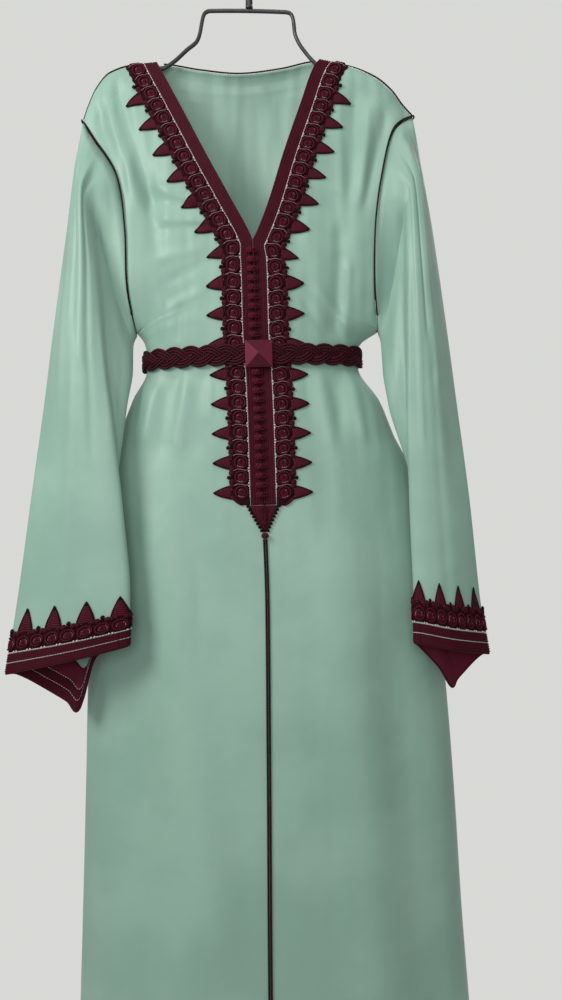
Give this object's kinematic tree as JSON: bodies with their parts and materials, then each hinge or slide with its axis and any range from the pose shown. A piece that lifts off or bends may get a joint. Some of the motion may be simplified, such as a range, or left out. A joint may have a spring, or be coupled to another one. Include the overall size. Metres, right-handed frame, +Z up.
{
  "type": "kaftan on a wire hanger",
  "caption": "Long open-necked kaftan with wide sleeves, braid and pointed lace trim, knot buttons and a plaited belt, hanging on a wire hanger.",
  "frame": {"origin": "inner top of the hanger's hook, where the rail bears", "axes": "+Z up, the garment's front towards -Y, +X to the viewer's right"},
  "size_m": [0.6353, 0.2226, 1.6502],
  "materials": {
    "cloth": "satin crepe",
    "braid": "woven braid",
    "lace": "corded lace",
    "satin": "satin",
    "cord": "twisted cord",
    "wire": "satin black"
  },
  "bodies": {
    "root": {"armhole_piping_left": "cord", "armhole_piping_right": "cord", "back": "cloth", "back_neck_piping": "cord", "belt": "cord", "buckle": "satin", "button_01": "cord", "button_02": "cord", "button_03": "cord", "button_04": "cord", "button_05": "cord", "button_06": "cord", "button_07": "cord", "button_08": "cord", "button_09": "cord", "button_10": "cord", "button_11": "cord", "button_12": "cord", "button_13": "cord", "button_14": "cord", "button_15": "cord", "button_16": "cord", "button_17": "cord", "button_18": "cord", "button_19": "cord", "button_20": "cord", "button_21": "cord", "button_22": "cord", "button_23": "cord", "button_24": "cord", "cuff_braid_left": "braid", "cuff_braid_right": "braid", "cuff_facing_left": "satin", "cuff_facing_right": "satin", "cuff_lace_left": "lace", "cuff_lace_right": "lace", "front_cord_left": "cord", "front_cord_right": "cord", "front_left": "cloth", "front_right": "cloth", "hanger_frame": "wire", "hanger_hook": "wire", "hanger_post": "wire", "lace_left": "lace", "lace_right": "lace", "neck_braid_left": "braid", "neck_braid_right": "braid", "placket_knot": "cord", "placket_point": "braid", "shoulder_piping_left": "cord", "shoulder_piping_right": "cord", "sleeve_left": "cloth", "sleeve_right": "cloth"}
  },
  "joints": []
}
